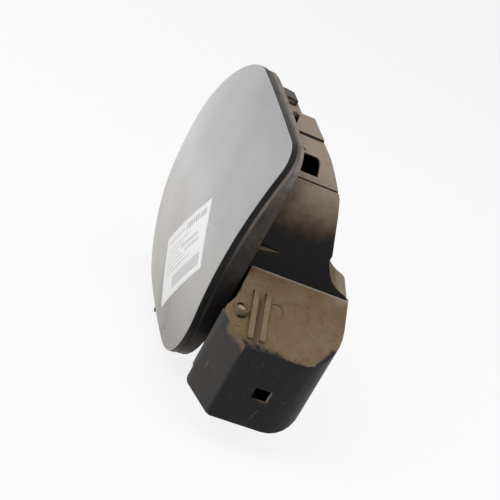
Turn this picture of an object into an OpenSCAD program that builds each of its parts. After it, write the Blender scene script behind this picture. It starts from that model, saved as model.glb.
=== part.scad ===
// Car fuel door with its filler housing, hinge pocket, lock and seals.
// Lengths are in millimetres. +X points to the hinge, +Y into the car and +Z up.
// Shapes are drawn from the crown of the door and then moved to the filler neck's bore.

/* [Door] */
// Width of the door
door_w = 184; // [176:1:196]
// Height of the door
door_h = 170; // [164:1:180]
// Radius of the rear top corner
rear_top_r = 69.6; // [55:0.2:74]
// Radius of the front top corner
front_top_r = 15; // [10:0.5:22]
// Radius of the front lower corner
front_low_r = 48.6; // [40:0.2:54]
// Radius of the rear lower corner
rear_low_r = 58.4; // [48:0.2:64]
// How far the top edge bows
top_bow = 4.2; // [2:0.1:5]
// How far the front edge bows
front_bow = 1.5; // [0.5:0.1:2.5]
// How far the lower edge bows
low_bow = 3.2; // [1.5:0.1:4]
// How far the rear edge bows
rear_bow = 2; // [1:0.1:3]
// Crown radius along the car
crown_x = 1250; // [1100:10:1500]
// Crown radius up the car
crown_z = 357; // [340:1:400]
// Thickness of the painted skin
skin_t = 1.2; // [0.8:0.1:1.6]
// Depth of the hem round the skin
hem_depth = 3.6; // [2.6:0.1:4]

/* [Inner panel] */
// Thickness of the inner panel
carrier_t = 2; // [1.6:0.1:2.6]
// Height of the stiffening ribs behind the inner panel
rib_rise = 2.6; // [1.5:0.1:3.4]
// Thickness of the stiffening ribs
rib_t = 1.8; // [1.2:0.1:2.4]
// Bond line between skin and inner panel
bond_gap = 0.2; // [0.1:0.05:0.4]

/* [Housing] */
// Wall thickness of the housing
wall = 2.2; // [1.8:0.1:2.8]
// Room for hem, seal and lip between the door's upper edge and the back of the flange
flange_room = 9.75; // [9.4:0.05:10.8]
// Distance from the crown of the door to the back of the floor
floor_back = 66; // [62:0.5:72]
// Distance from the door's front edge in to the bowl's front wall
front_margin = 8; // [7:0.2:9.4]
// Distance from the door's rear edge in to the bowl's rear wall
rear_margin = 52; // [52:0.5:56]
// Distance from the door's upper edge down to the bowl's top wall
top_margin = 7; // [6:0.5:9]
// Distance from the door's lower edge up to the bowl's bottom wall
low_margin = 15; // [11:0.5:18]
// Depth of the bowl along its top wall
shoulder_back = 42.5; // [40:0.5:46]
// Flat floor kept round the filler neck
floor_rim = 9.5; // [8.5:0.5:14]

/* [Filler neck] */
// Radius of the filler neck that the rubber ring grips
neck_r = 31; // [27:0.25:32]
// Length of the rubber ring along the neck
neck_seal_len = 14; // [11:0.5:18]
// Distance of the neck from the door's middle, towards the hinge
neck_x = 20; // [18:0.5:21]
// Distance of the neck below the door's middle
neck_drop = 12; // [11:0.5:14]

/* [Hinge pocket] */
// Distance from the pin to the pocket's outer end
pocket_out = 17.6; // [16.4:0.2:21.6]
// Depth of the pocket behind the crown
pocket_back = 90; // [84:0.5:94]
// Height of the pocket's upper edge above the door's middle
ridge_z = 4.7; // [3:0.1:6]
// Slope of the pocket's roof and floor
pocket_slope = 35; // [33:0.5:36]
// Thickness of the pocket across its slope
pocket_h = 41.8; // [41:0.2:44]
// Radius of the hinge pin
pin_r = 3; // [2.5:0.1:3.2]
// Distance of the pin beyond the door's front edge
pin_out = 16.4; // [15.6:0.2:17]
// Distance of the pin behind the crown
pin_y = 22.1; // [21.7:0.1:22.5]

/* [Hinge arm] */
// Inner radius of the swan neck about the pin
arm_in = 35; // [34:0.25:36]
// Thickness of the swan neck
arm_t = 5; // [4:0.25:5.5]
// Height of the arm
arm_h = 31; // [28:0.5:32]
// Radius of the hub on the pin
hub_r = 7; // [6.6:0.1:7.4]
// Wire thickness of the hinge spring
wire_d = 1.6; // [1.2:0.1:1.8]
// Turns of the hinge spring
spring_turns = 5; // [4:1:6]

/* [Lock] */
// Width of the lock actuator
lock_w = 26; // [25:0.5:27]
// Depth of the lock actuator
lock_d = 27; // [26:0.5:30]
// Length of the lock actuator
lock_l = 54; // [52:0.5:56]
// Radius of the lock pin
lock_r = 3; // [2.6:0.1:3.2]
// Travel of the lock pin
lock_travel = 9; // [7:0.5:9]
// Thickness of the catch tongue
tongue_t = 4; // [3:0.25:4.5]

/* [Label] */
// Length of the paper label
label_l = 74.5; // [60:0.5:80]
// Height of the paper label
label_h = 47.6; // [35:0.2:50]
// Turn of the label on the door
label_turn = 51.5; // [45:0.5:60]

/* [Hidden] */
$fn = 64;
big = 200;
run_gap = 0.05;
seat_gap = 0.3;
arc_steps = 9;
side_steps = 6;

// Door stack, counted inwards from the painted face
carrier_front = skin_t + bond_gap;
carrier_back = carrier_front + carrier_t;
carrier_inset = 4.5;
seal_front = hem_depth + 0.6;
seal_back = seal_front + 2;
seal_inset = 0.6;
seal_w = 2.8;
flange_t = 2.5;
edge_drop = crown_z - sqrt(crown_z * crown_z - door_h * door_h / 4);
flange_back = round(20 * (edge_drop + flange_room)) / 20;
flange_front = flange_back - flange_t;

// Bowl walls
bowl_front = door_w / 2 - front_margin;
bowl_rear = door_w / 2 - rear_margin;
bowl_top = door_h / 2 - top_margin;
bowl_low = door_h / 2 - low_margin;
shoulder_bend = neck_r + floor_rim - neck_drop;
knee_y = shoulder_back + 10.3;
knee_z = bowl_top - 15.5;

// Pocket: pin, roof and floor at the pin
pin_x = door_w / 2 + pin_out;
pocket_end = pin_x + pocket_out;
bend_x = pin_x - 5.4;
slope_drop = tan(pocket_slope);
pocket_tall = pocket_h / cos(pocket_slope);
pocket_wall = wall + 0.3;
roof_at_pin = ridge_z - (pin_x - bowl_front) * slope_drop;
floor_at_pin = roof_at_pin - pocket_tall;
nose_y = 10.8;
swell_rear = bowl_front - 18;
swell_slope = 15;
swell_lift = shoulder_bend - ridge_z;
boss_r = 4.8;
boss_top = roof_at_pin + 1.6;
boss_dish = 0.9;
boss_low = floor_at_pin - (boss_r + 1) * slope_drop - 0.5;

// Arm and its bushes
arm_start = 80;
arm_end = 192;
flange_step = 1;
arm_mid = (roof_at_pin + floor_at_pin) / 2 - 0.1;
arm_top = arm_mid + arm_h / 2;
arm_low = arm_mid - arm_h / 2;
barrel_r = hub_r + 0.5;
link_reach = pin_x + (arm_in + arm_t) * cos(arm_start) + arm_t / 2;
plate_gap = pocket_wall / cos(pocket_slope);
ring_top = ridge_z - (link_reach - bowl_front) * slope_drop - plate_gap - 2;
ring_low = ridge_z + wall * slope_drop - pocket_tall + plate_gap + 2.2;
foot_mid = (ring_top + ring_low) / 2;

// Bowl corners from rear top round to rear lower, the front lower one clear of the swan neck
front_r = min(40, bowl_low + ring_low + 10);
bowl_r = [60, 26, front_r, min(55, bowl_front + bowl_rear - front_r - 2)];

// Foot, bushes and spring of the arm
foot_h = 34;
bush_len = 8;
bush_wall = 1.5;
bush_r = pin_r + run_gap + bush_wall;
foot_front = 13;
foot_t = 4;
foot_rear = pin_x - 60.4;
foot_edge = pin_x - 32.9;
foot_screws = [[foot_rear + 5, 12.8], [foot_rear + 5, -12.8], [foot_rear + 13, 0]];
spring_in = pin_r + 1.8;
spring_mid = spring_in + wire_d / 2;
spring_pitch = wire_d + 0.35;
spring_low = arm_mid - (spring_turns + 0.5) * spring_pitch / 2;

// Lock: the pin, screw and motor share one upright axis
lock_x = 27 - door_w / 2;
lock_y = flange_back + lock_d / 2 - 0.5;
lock_top = -8;
lock_low = lock_top - lock_l;
lock_wall = 2;
pin_tip = lock_top + 1;
lock_core = pin_tip - 26;
screw_r = 2;
shaft_r = 1.5;
motor_r = 9;
motor_top = lock_core - 3;
tongue_low = pin_tip + 3;
tongue_w = 13;
tongue_end = lock_y + 6.8;
pad_face = 9;
base_t = 2;
eye_gap = 1.2;
ear_z = -35;
ear_reach = 18;
ear_r = 4.5;
ear_t = 3;
socket_w = 16;
socket_d = 9;
socket_l = 12;

// Rests, clips and label
tongue_x = bowl_front - 42.8;
bumper_spots = [[22 - door_w / 2, door_h / 2 - 53], [44 - door_w / 2, 19 - door_h / 2]];
bumper_r = 5;
bumper_stem = 2.5;
clip_spots = [[tongue_x - 53.7, bowl_top - 1.5, 0], [6.5 - door_w / 2, 18, 90], [-16, 7.5 - door_h / 2, 180]];
clip_w = 14;
clip_t = 0.8;
stub_t = 1.8;
stub_l = 12;
label_x = door_w / 2 - 64.4;
label_z = 55.3 - door_h / 2;
label_t = 0.2;
hook_x = neck_x;
hook_z = neck_r - neck_drop + 1;
hook_half = 15;
hook_seat = 6;

// Moves a shape from the door's crown to the frame of the neck
module in_frame() {
    translate([-neck_x, -floor_back, neck_drop])
        children();
}

// Outline helpers
function unit(v) = v / norm(v);

function left_of(a, b) = [a[1] - b[1], b[0] - a[0]] / norm(b - a);

function at(list, i) = list[(i + len(list)) % len(list)];

function moved_in(list, t) = [
    for (i = [0 : len(list) - 1])
        let (n1 = left_of(at(list, i - 1), list[i]), n2 = left_of(list[i], at(list, i + 1)))
            list[i] + (n1 + n2) * t / (1 + n1 * n2)
];

function corner_arc(a, b, c, r, steps) =
    let (
        u = unit(a - b),
        w = unit(c - b),
        half = acos(u * w) / 2,
        mid = b + unit(u + w) * r / sin(half),
        from = b + u * r / tan(half) - mid,
        to = b + w * r / tan(half) - mid,
        a0 = atan2(from[1], from[0]),
        raw = atan2(to[1], to[0]) - a0,
        turn = raw > 180 ? raw - 360 : raw < -180 ? raw + 360 : raw
    )
    [for (i = [0 : steps]) mid + r * [cos(a0 + turn * i / steps), sin(a0 + turn * i / steps)]];

function rounded(list, radii, steps) = [
    for (i = [0 : len(list) - 1])
        each corner_arc(at(list, i - 1), list[i], at(list, i + 1), radii[i], steps)
];

function between(p, q, n) = [for (i = [1 : n - 1]) p + (q - p) * i / n];

// A closed box outline given counter-clockwise from its rear top corner
function box_corners(rear, front, low, top) = [[rear, top], [rear, low], [front, low], [front, top]];

// The door's edge, moved in by a distance, with its sides bowed
function bowed(p) = [
    p[0] - (p[0] > 0 ? front_bow : -rear_bow) * pow(2 * p[1] / door_h, 2) * abs(2 * p[0] / door_w),
    p[1] - (p[1] > 0 ? top_bow : -low_bow) * pow(2 * p[0] / door_w, 2) * abs(2 * p[1] / door_h)
];

function door_edge(t) =
    let (
        box = box_corners(-door_w / 2 + t, door_w / 2 - t, -door_h / 2 + t, door_h / 2 - t),
        radii = [rear_top_r - t, rear_low_r - t, front_low_r - t, front_top_r - t],
        arcs = [for (i = [0 : 3]) corner_arc(at(box, i - 1), box[i], at(box, i + 1), radii[i], arc_steps)]
    )
    [for (i = [0 : 3]) each [
        for (p = concat(arcs[i], between(arcs[i][arc_steps], at(arcs, i + 1)[0], side_steps))) bowed(p)
    ]];

function bowl_edge(t) = rounded(
    box_corners(-bowl_rear + t, bowl_front - t, -bowl_low + t, bowl_top - t),
    [bowl_r[0] - t, bowl_r[3] - t, bowl_r[2] - t, bowl_r[1] - t], arc_steps
);

// Side view of the bowl, as (depth, height)
function bowl_side(t) = moved_in([
    [flange_front - 8, -big],
    [floor_back, -big],
    [floor_back, shoulder_bend],
    [knee_y, knee_z],
    [shoulder_back - (knee_y - shoulder_back) * 20 / (bowl_top - knee_z), bowl_top + 20],
    [flange_front - 8, bowl_top + 20]
], t);

// Depth of the pocket's front wall
function pocket_front(x) = 18 + (bend_x - x) * 0.352;

// Plan of the pocket from a given rear end, as (x, depth)
function pocket_plan(rear) = [
    [rear, pocket_front(rear)],
    [bend_x, pocket_front(bend_x)],
    [pin_x + 3.1, nose_y],
    [pocket_end, 29],
    [pocket_end, pocket_back],
    [rear, pocket_back]
];

// Side view of the swelling behind the floor, as (depth, height above the pocket's ridge)
function swell_side(t) = rounded(
    moved_in([
        [floor_back - 7, 4 - pocket_tall],
        [pocket_back, 4 - pocket_tall],
        [pocket_back, 1],
        [floor_back + 8, swell_lift - 17.5],
        [floor_back - 7, swell_lift + 6.5]
    ], t),
    [0.6, 8 - t, 6 - t, 22, 0.6], 8
);

// Prism along the car's depth from an outline given as (x, height)
module face_prism(points, from, to) {
    translate([0, to, 0])
        rotate([90, 0, 0])
            linear_extrude(to - from)
                polygon(points);
}

// Prism across the car from a side view given as (depth, height)
module side_prism(points, from, to) {
    translate([from, 0, 0])
        rotate([90, 0, 90])
            linear_extrude(to - from)
                polygon(points);
}

// Upright prism from a plan
module plan_prism(points, from, to) {
    translate([0, 0, from])
        linear_extrude(to - from)
            polygon(points);
}

// Box between two corners
module block(low, high) {
    translate(low)
        cube(high - low);
}

// Round bar along the depth
module depth_bar(x, z, r, from, to) {
    translate([x, to, z])
        rotate([90, 0, 0])
            cylinder(h = to - from, r = r);
}

// All that lies deeper than a distance behind the painted face
module behind_face(depth) {
    sweep = 11;
    translate([0, crown_x, 0])
        rotate([0, 0, -90 - sweep / 2])
            rotate_extrude(angle = sweep, $fn = 1440)
                intersection() {
                    translate([crown_x - crown_z, 0])
                        circle(r = crown_z - depth, $fn = 720);
                    translate([crown_x - 60, -110])
                        square([70, 220]);
                }
}

// Depth of that surface at a place on the door
function face_depth(x, z, depth) =
    crown_x - sqrt(pow(crown_x - crown_z + sqrt(pow(crown_z - depth, 2) - z * z), 2) - x * x);

// A band that follows the door's edge between two insets and two depths
module edge_band(outer, inner, front, back, stop) {
    intersection() {
        difference() {
            face_prism(door_edge(outer), -5, stop);
            face_prism(door_edge(inner), -6, stop + 1);
        }
        difference() {
            behind_face(front);
            behind_face(back);
        }
    }
}

// Slab between the sloping roof and floor of the pocket
module pocket_slab(t) {
    translate([bowl_front, 0, ridge_z])
        rotate([0, pocket_slope, 0])
            translate([-60, -10, t - pocket_h])
                cube([160, big, pocket_h - 2 * t]);
}

// Way through the bowl's front wall for the swan neck
module wall_mouth() {
    intersection() {
        block([bowl_front - wall - 3, pocket_front(bowl_front) + pocket_wall * 1.06, -120],
            [bowl_front - 1, floor_back - wall, 60]);
        pocket_slab(pocket_wall);
    }
}

module pocket_solid(t, rear) {
    intersection() {
        plan_prism(rounded(moved_in(pocket_plan(rear), t),
            [0.6, 6 + t, max(4 - t, 1), max(7 - t, 1), 26 - t, 0.6], 8), -120, 60);
        pocket_slab(t);
    }
}

// Swelling behind the floor, which runs down into the pocket
module swell_solid(t, from, to) {
    intersection() {
        translate([bowl_front, 0, ridge_z])
            rotate([0, swell_slope, 0])
                side_prism(swell_side(t), -50, 30);
        block([from, 0, -big], [to, big, big]);
    }
}

module bowl_solid(t, front) {
    intersection() {
        face_prism(bowl_edge(t), front, floor_back);
        side_prism(bowl_side(t), -big, big);
    }
}

// Snap tongue in the top front corner: its slits, window and root, given round the corner
module corner_cut(angle, outline) {
    translate([bowl_front - bowl_r[1], 0, bowl_top - bowl_r[1]])
        rotate([0, -angle, 0])
            translate([bowl_r[1] - wall - 2, 0, 0])
                rotate([90, 0, 90])
                    linear_extrude(wall + 6)
                        polygon(outline);
}

module tongue_cuts() {
    slit = 1;
    block([tongue_x, flange_back + 3, bowl_top - 6], [tongue_x + slit, shoulder_back + 9, bowl_top + 6]);
    corner_cut(31, box_corners(flange_back + 4, floor_back - 14, -slit / 2, slit / 2));
    corner_cut(55, rounded(box_corners(flange_back + 4.5, flange_back + 16.2, -6.4, 6.6), [0.6, 0.6, 0.6, 3.2], 6));
    corner_cut(82, [[flange_back + 1.5, -3], [flange_back + 7, -3], [flange_back + 1.5, 9]]);
}

// The tongue is thinner than the wall that it springs from
module tongue_skim() {
    difference() {
        block([tongue_x + 1, flange_back + 2, bowl_top - bowl_r[1] + bowl_r[1] * sin(31)],
            [bowl_front + 2, floor_back - 10, bowl_top + 2]);
        translate([bowl_front - bowl_r[1], floor_back, bowl_top - bowl_r[1]])
            rotate([90, 0, 0])
                cylinder(h = floor_back, r = bowl_r[1] - 1);
        block([0, 0, 0], [bowl_front - bowl_r[1], floor_back, bowl_top - 1]);
    }
}

// Raised pad beside the snap tongue, and the shelf that carries the upper clip
module top_pad() {
    block([tongue_x - 32.5, flange_back - 1, bowl_top - 6], [tongue_x, shoulder_back + 0.3, bowl_top + 0.3]);
    block([tongue_x - 60, flange_back - 1, bowl_top - 4.1], [tongue_x - 30, flange_back + 16, bowl_top - 1.7]);
}

module pad_window() {
    translate([tongue_x, 0, bowl_top - 8])
        linear_extrude(12)
            polygon([[-25.5, flange_back + 1.4], [-34.2, flange_back + 13.6], [-11.4, flange_back + 6.2], [-9, flange_back + 1.4]]);
}

// Ribs and round marks on the pocket's roof
module roof_ribs() {
    intersection() {
        translate([bowl_front, 0, ridge_z])
            rotate([0, pocket_slope, 0])
                for (y = [29.8, 37.6])
                    translate([15, y - 1.7, -1])
                        cube([31, 3.4, 2.9]);
        block([bowl_front, 0, -60], [pocket_end - 2.4, big, 40]);
    }
}

module wall_fin() {
    translate([0, 0, 16.6])
        linear_extrude(2)
            polygon([[bowl_front - 1, flange_back - 1], [bowl_front + 7, flange_back - 1], [bowl_front - 1, flange_back + 19]]);
}

module clip_stub() {
    translate([-clip_w / 2 + 1, flange_back - 0.5, clip_t + 0.1])
        cube([clip_w - 2, stub_l + 0.5, stub_t]);
}

module at_clips() {
    for (spot = clip_spots)
        translate([spot[0], 0, spot[1]])
            rotate([0, -spot[2], 0])
                children();
}

module housing() {
    color([0.17, 0.16, 0.15])
        in_frame()
            difference() {
                union() {
                    difference() {
                        union() {
                            edge_band(seal_inset, seal_inset + wall, seal_back, crown_z / 4, flange_back);
                            face_prism(door_edge(seal_inset), flange_front, flange_back);
                            bowl_solid(0, flange_front);
                            pocket_solid(0, bowl_front - 1.2);
                            swell_solid(0, swell_rear, bowl_front);
                            translate([pin_x, pin_y, arm_low - 4])
                                cylinder(h = arm_h + 8, r = barrel_r + 1.7);
                            top_pad();
                            wall_fin();
                            roof_ribs();
                            at_clips() clip_stub();
                            translate([neck_x + 4, floor_back - 16, -bowl_low - 16])
                                cylinder(h = 18, r = 6);
                            for (side = [-1, 1])
                                depth_bar(lock_x + side * ear_reach, ear_z, 4, 12.5, flange_front + 1);
                        }
                        bowl_solid(wall, flange_front - 1);
                        pocket_solid(pocket_wall, bowl_front - 6);
                        wall_mouth();
                        translate([pin_x, pin_y, arm_low - 2.3])
                            cylinder(h = arm_h + 4.6, r = barrel_r);
                        swell_solid(pocket_wall, swell_rear + pocket_wall, bowl_front - wall);
                    }
                    translate([pin_x, pin_y, arm_top + flange_step + seat_gap])
                        cylinder(h = boss_top - arm_top - flange_step - seat_gap, r = boss_r);
                    translate([pin_x, pin_y, boss_low])
                        cylinder(h = arm_low - flange_step - seat_gap - boss_low, r = boss_r + 1);
                }
                // Pin bore and the dish that shows the pin's end
                translate([pin_x, pin_y, boss_low - 1])
                    cylinder(h = big, r = pin_r);
                translate([pin_x, pin_y, boss_top - boss_dish])
                    cylinder(h = 5, r = pin_r + 0.5);
                // Neck hole, drain, slot in the pocket's end and the catch slot
                depth_bar(neck_x, -neck_drop, neck_r + 5, floor_back - 6, floor_back + 1);
                translate([neck_x + 4, floor_back - 16, -bowl_low - 17])
                    cylinder(h = 22, r = 4);
                block([pocket_end - 6, 47.6, -56.4], [pocket_end + 2, 58.2, -48.2]);
                block([lock_x - tongue_w / 2 - 2.5, flange_front - 1, tongue_low - 2.5],
                    [lock_x + tongue_w / 2 + 2.5, flange_back + 1, tongue_low + tongue_t + 2.5]);
                tongue_cuts();
                tongue_skim();
                pad_window();
                for (spot = bumper_spots)
                    depth_bar(spot[0], spot[1], bumper_stem, flange_front - 1, flange_back + 1);
                for (side = [-1, 1])
                    depth_bar(lock_x + side * ear_reach, ear_z, 1.75, 13.5, flange_back + 1);
                // Round mark on the pocket's roof
                translate([bowl_front, 0, ridge_z])
                    rotate([0, pocket_slope, 0])
                        translate([23.8, 44.3, -0.6])
                            cylinder(h = 4, r = 5);
            }
}

module lip_seal() {
    color([0.09, 0.09, 0.09])
        in_frame()
            union() {
                edge_band(seal_inset, seal_inset + seal_w, seal_front, seal_back, flange_front);
                block([-6.5, edge_drop + seal_front + 0.2, -door_h / 2 - 6], [-1, edge_drop + seal_back - 0.3, -door_h / 2 + 1.8]);
            }
}

module neck_seal() {
    color([0.08, 0.08, 0.08])
        in_frame()
            translate([neck_x, floor_back, -neck_drop])
                rotate([90, 0, 0])
                    difference() {
                        union() {
                            translate([0, 0, -neck_seal_len / 2])
                                cylinder(h = neck_seal_len, r = neck_r + 2.6);
                            translate([0, 0, -2])
                                cylinder(h = wall + 4, r = neck_r + 8);
                        }
                        difference() {
                            cylinder(h = wall, r = neck_r + 9);
                            translate([0, 0, -1])
                                cylinder(h = wall + 2, r = neck_r + 5);
                        }
                        translate([0, 0, -neck_seal_len])
                            cylinder(h = 2 * neck_seal_len, r = neck_r);
                    }
}

// Bent strip of sheet from a list of points, given as (depth, out)
module strip(path, t) {
    for (i = [0 : len(path) - 2])
        let (step = path[i + 1] - path[i]) {
            translate(path[i])
                rotate(atan2(step[1], step[0]))
                    translate([0, -t / 2])
                        square([norm(step), t]);
            translate(path[i])
                circle(d = t, $fn = 24);
        }
}

module body_clips() {
    base = clip_t / 2;
    crest = clip_t + stub_t + 0.2 + clip_t / 2;
    color([0.55, 0.55, 0.52])
        in_frame()
            at_clips()
                translate([-clip_w / 2, 0, 0])
                    rotate([90, 0, 90])
                        linear_extrude(clip_w)
                            strip([
                                [flange_back + 0.6, base],
                                [flange_back + stub_l + 0.6, base],
                                [flange_back + stub_l + 0.6, crest],
                                [flange_back + 6.5, crest + 0.6],
                                [flange_back + 2, crest + 0.4]
                            ], clip_t);
}

module hinge_pin() {
    color([0.72, 0.7, 0.66])
        in_frame()
            translate([pin_x, pin_y, 0])
                difference() {
                    translate([0, 0, boss_low - 2])
                        cylinder(h = boss_top - boss_low + 1.6, r = pin_r);
                    translate([0, 0, boss_low - 1.1])
                        difference() {
                            cylinder(h = 1, r = pin_r + 1);
                            translate([0, 0, -1])
                                cylinder(h = 3, r = pin_r - 0.6);
                        }
                }
}

module pin_clip() {
    color([0.3, 0.3, 0.31])
        in_frame()
            translate([pin_x, pin_y, boss_low - 1.05])
                difference() {
                    cylinder(h = 0.9, r = pin_r + 2.2);
                    translate([0, 0, -1])
                        cylinder(h = 3, r = pin_r - 0.6);
                    translate([0, -1.6, -1])
                        cube([10, 3.2, 3]);
                }
}

// Hinge spring: a helix about the pin with one leg to the arm and one to the pocket's end
spring_ring = 10;
spring_seg = 14;
leg_arm = 16;
leg_turn = 20;
leg_side = arm_t / 2 + seat_gap + wire_d / 2;
leg_x = pocket_end - pocket_wall - seat_gap - wire_d / 2 - pin_x;
leg_y = (leg_x - spring_mid * cos(leg_turn)) / tan(leg_turn) - spring_mid * sin(leg_turn);
function spring_at(i) =
    let (a = -leg_turn - i * 360 / spring_seg)
    [spring_mid * cos(a), spring_mid * sin(a), i * spring_pitch / spring_seg];

function spring_path() = concat(
    [[leg_x, leg_y, 0]],
    [for (i = [0 : (spring_turns + 0.5) * spring_seg]) spring_at(i)],
    [leg_arm * [cos(arm_start), sin(arm_start), 0] + leg_side * [-sin(arm_start), cos(arm_start), 0]
        + [0, 0, (spring_turns + 0.5) * spring_pitch]]
);

module tube(path, d, sides) {
    last = len(path) - 1;
    rings = [
        for (i = [0 : last])
            let (
                dir = unit(path[min(i + 1, last)] - path[max(i - 1, 0)]),
                flat = unit(cross([0, 0, 1], dir)),
                up = cross(dir, flat)
            )
            for (s = [0 : sides - 1])
                path[i] + d / 2 * (flat * cos(360 * s / sides) + up * sin(360 * s / sides))
    ];
    skins = [
        for (i = [0 : last - 1])
            for (s = [0 : sides - 1])
                let (n = (s + 1) % sides)
                    [i * sides + s, (i + 1) * sides + s, (i + 1) * sides + n, i * sides + n]
    ];
    ends = [
        [for (s = [0 : sides - 1]) s],
        [for (s = [0 : sides - 1]) last * sides + sides - 1 - s]
    ];
    polyhedron(points = rings, faces = concat(skins, ends));
}

module hinge_spring() {
    color([0.62, 0.62, 0.6])
        in_frame()
            translate([pin_x, pin_y, spring_low])
                tube(spring_path(), wire_d, spring_ring);
}

module door_bumpers() {
    color([0.1, 0.1, 0.1])
        in_frame()
            for (spot = bumper_spots) {
                depth_bar(spot[0], spot[1], bumper_r,
                    face_depth(abs(spot[0]) + bumper_r * 0.4, abs(spot[1]) + bumper_r, carrier_back) + seat_gap,
                    flange_front);
                depth_bar(spot[0], spot[1], bumper_stem, flange_front, flange_back + 0.3);
                depth_bar(spot[0], spot[1], bumper_stem + 1, flange_back, flange_back + 1.2);
            }
}

module actuator_case() {
    half = lock_w / 2;
    front = flange_back;
    back = flange_back + lock_d;
    color([0.14, 0.14, 0.15])
        in_frame()
            difference() {
                union() {
                    block([lock_x - half, front, lock_low], [lock_x + half, back - lock_wall, lock_top]);
                    for (side = [-1, 1]) {
                        depth_bar(lock_x + side * ear_reach, ear_z, ear_r, front, front + ear_t);
                        block([lock_x + side * (half + 1.5) - 2, front, ear_z - ear_r],
                            [lock_x + side * (half + 1.5) + 2, front + ear_t, ear_z + ear_r]);
                    }
                    block([lock_x - socket_w / 2, back - lock_wall - 13, lock_low - socket_l],
                        [lock_x + socket_w / 2, back - lock_wall - 13 + socket_d + 4, lock_low + 1]);
                }
                block([lock_x - half + lock_wall, front + lock_wall, lock_low + lock_wall],
                    [lock_x + half - lock_wall, back + 1, lock_top - lock_wall]);
                block([lock_x - socket_w / 2 + 2, back - lock_wall - 11, lock_low - socket_l - 1],
                    [lock_x + socket_w / 2 - 2, back - lock_wall - 11 + socket_d, lock_low - 1]);
                translate([lock_x, lock_y, lock_top - 10])
                    cylinder(h = 20, r = lock_r + run_gap);
                for (side = [-1, 1])
                    depth_bar(lock_x + side * ear_reach, ear_z, 1.75, front - 1, front + ear_t + 1);
                for (x = [-3, 3])
                    block([lock_x + x - 1.2, back - lock_wall - 8, lock_low - 3], [lock_x + x + 1.2, back - lock_wall - 7, lock_low + 4]);
            }
}

module actuator_cover() {
    half = lock_w / 2;
    back = flange_back + lock_d;
    color([0.2, 0.2, 0.21])
        in_frame()
            difference() {
                union() {
                    block([lock_x - half, back - lock_wall, lock_low], [lock_x + half, back, lock_top]);
                    block([lock_x - half + lock_wall + 0.1, back - lock_wall - 1.5, lock_low + lock_wall + 0.1],
                        [lock_x + half - lock_wall - 0.1, back - lock_wall, lock_top - lock_wall - 0.1]);
                }
                block([lock_x - half + lock_wall + 1.6, back - lock_wall - 2.5, lock_low + lock_wall + 1.6],
                    [lock_x + half - lock_wall - 1.6, back - lock_wall, lock_top - lock_wall - 1.6]);
            }
}

module actuator_motor() {
    color([0.6, 0.6, 0.62])
        in_frame()
            translate([lock_x, lock_y, 0])
                difference() {
                    union() {
                        translate([0, 0, lock_low + lock_wall])
                            cylinder(h = motor_top - lock_low - lock_wall, r = motor_r);
                        translate([0, 0, motor_top])
                            cylinder(h = 1.5, r = 3.5);
                    }
                    translate([0, 0, motor_top - 10])
                        cylinder(h = 20, r = shaft_r + run_gap);
                }
}

module actuator_screws() {
    color([0.75, 0.75, 0.7])
        in_frame()
            for (side = [-1, 1])
                difference() {
                    union() {
                        depth_bar(lock_x + side * ear_reach, ear_z, 1.75, 13.5, flange_back + ear_t);
                        depth_bar(lock_x + side * ear_reach, ear_z, 3.4, flange_back + ear_t, flange_back + ear_t + 2.4);
                    }
                    translate([lock_x + side * ear_reach, flange_back + ear_t + 1.2, ear_z])
                        rotate([-90, 0, 0])
                            cylinder(h = 3, r = 1.6, $fn = 6);
                }
}

module socket_blades() {
    back = flange_back + lock_d;
    color([0.8, 0.65, 0.3])
        in_frame()
            for (x = [-3, 3])
                block([lock_x + x - 1.2, back - lock_wall - 8, lock_low - 9],
                    [lock_x + x + 1.2, back - lock_wall - 7, lock_low + lock_wall]);
}

module lock_spindle() {
    color([0.7, 0.7, 0.7])
        in_frame()
            translate([lock_x, lock_y, 0]) {
                translate([0, 0, motor_top - 9])
                    cylinder(h = 10.8, r = shaft_r);
                translate([0, 0, motor_top + 1.8])
                    cylinder(h = 18, r = screw_r);
            }
}

module lock_pin() {
    color([0.85, 0.83, 0.78])
        in_frame()
            translate([lock_x, lock_y, 0])
                difference() {
                    union() {
                        translate([0, 0, lock_core])
                            cylinder(h = 14, r = lock_r + 1.5);
                        translate([0, 0, lock_core])
                            cylinder(h = pin_tip - lock_core - 1, r = lock_r);
                        translate([0, 0, pin_tip - 1])
                            cylinder(h = 1, r1 = lock_r, r2 = lock_r - 0.8);
                    }
                    translate([0, 0, lock_core - 1])
                        cylinder(h = 20.5, r = screw_r + run_gap);
                }
}

module lock_wiper() {
    color([0.08, 0.08, 0.08])
        in_frame()
            translate([lock_x, lock_y, lock_top])
                difference() {
                    cylinder(h = 1.2, r = lock_r + 3);
                    translate([0, 0, -1])
                        cylinder(h = 4, r = lock_r + 0.1);
                }
}

module door_skin() {
    color([0.6, 0.61, 0.63])
        in_frame()
            difference() {
                intersection() {
                    face_prism(door_edge(0), -5, 40);
                    difference() {
                        behind_face(0);
                        behind_face(hem_depth);
                    }
                }
                intersection() {
                    face_prism(door_edge(skin_t), -6, 41);
                    behind_face(skin_t);
                }
            }
}

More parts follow.
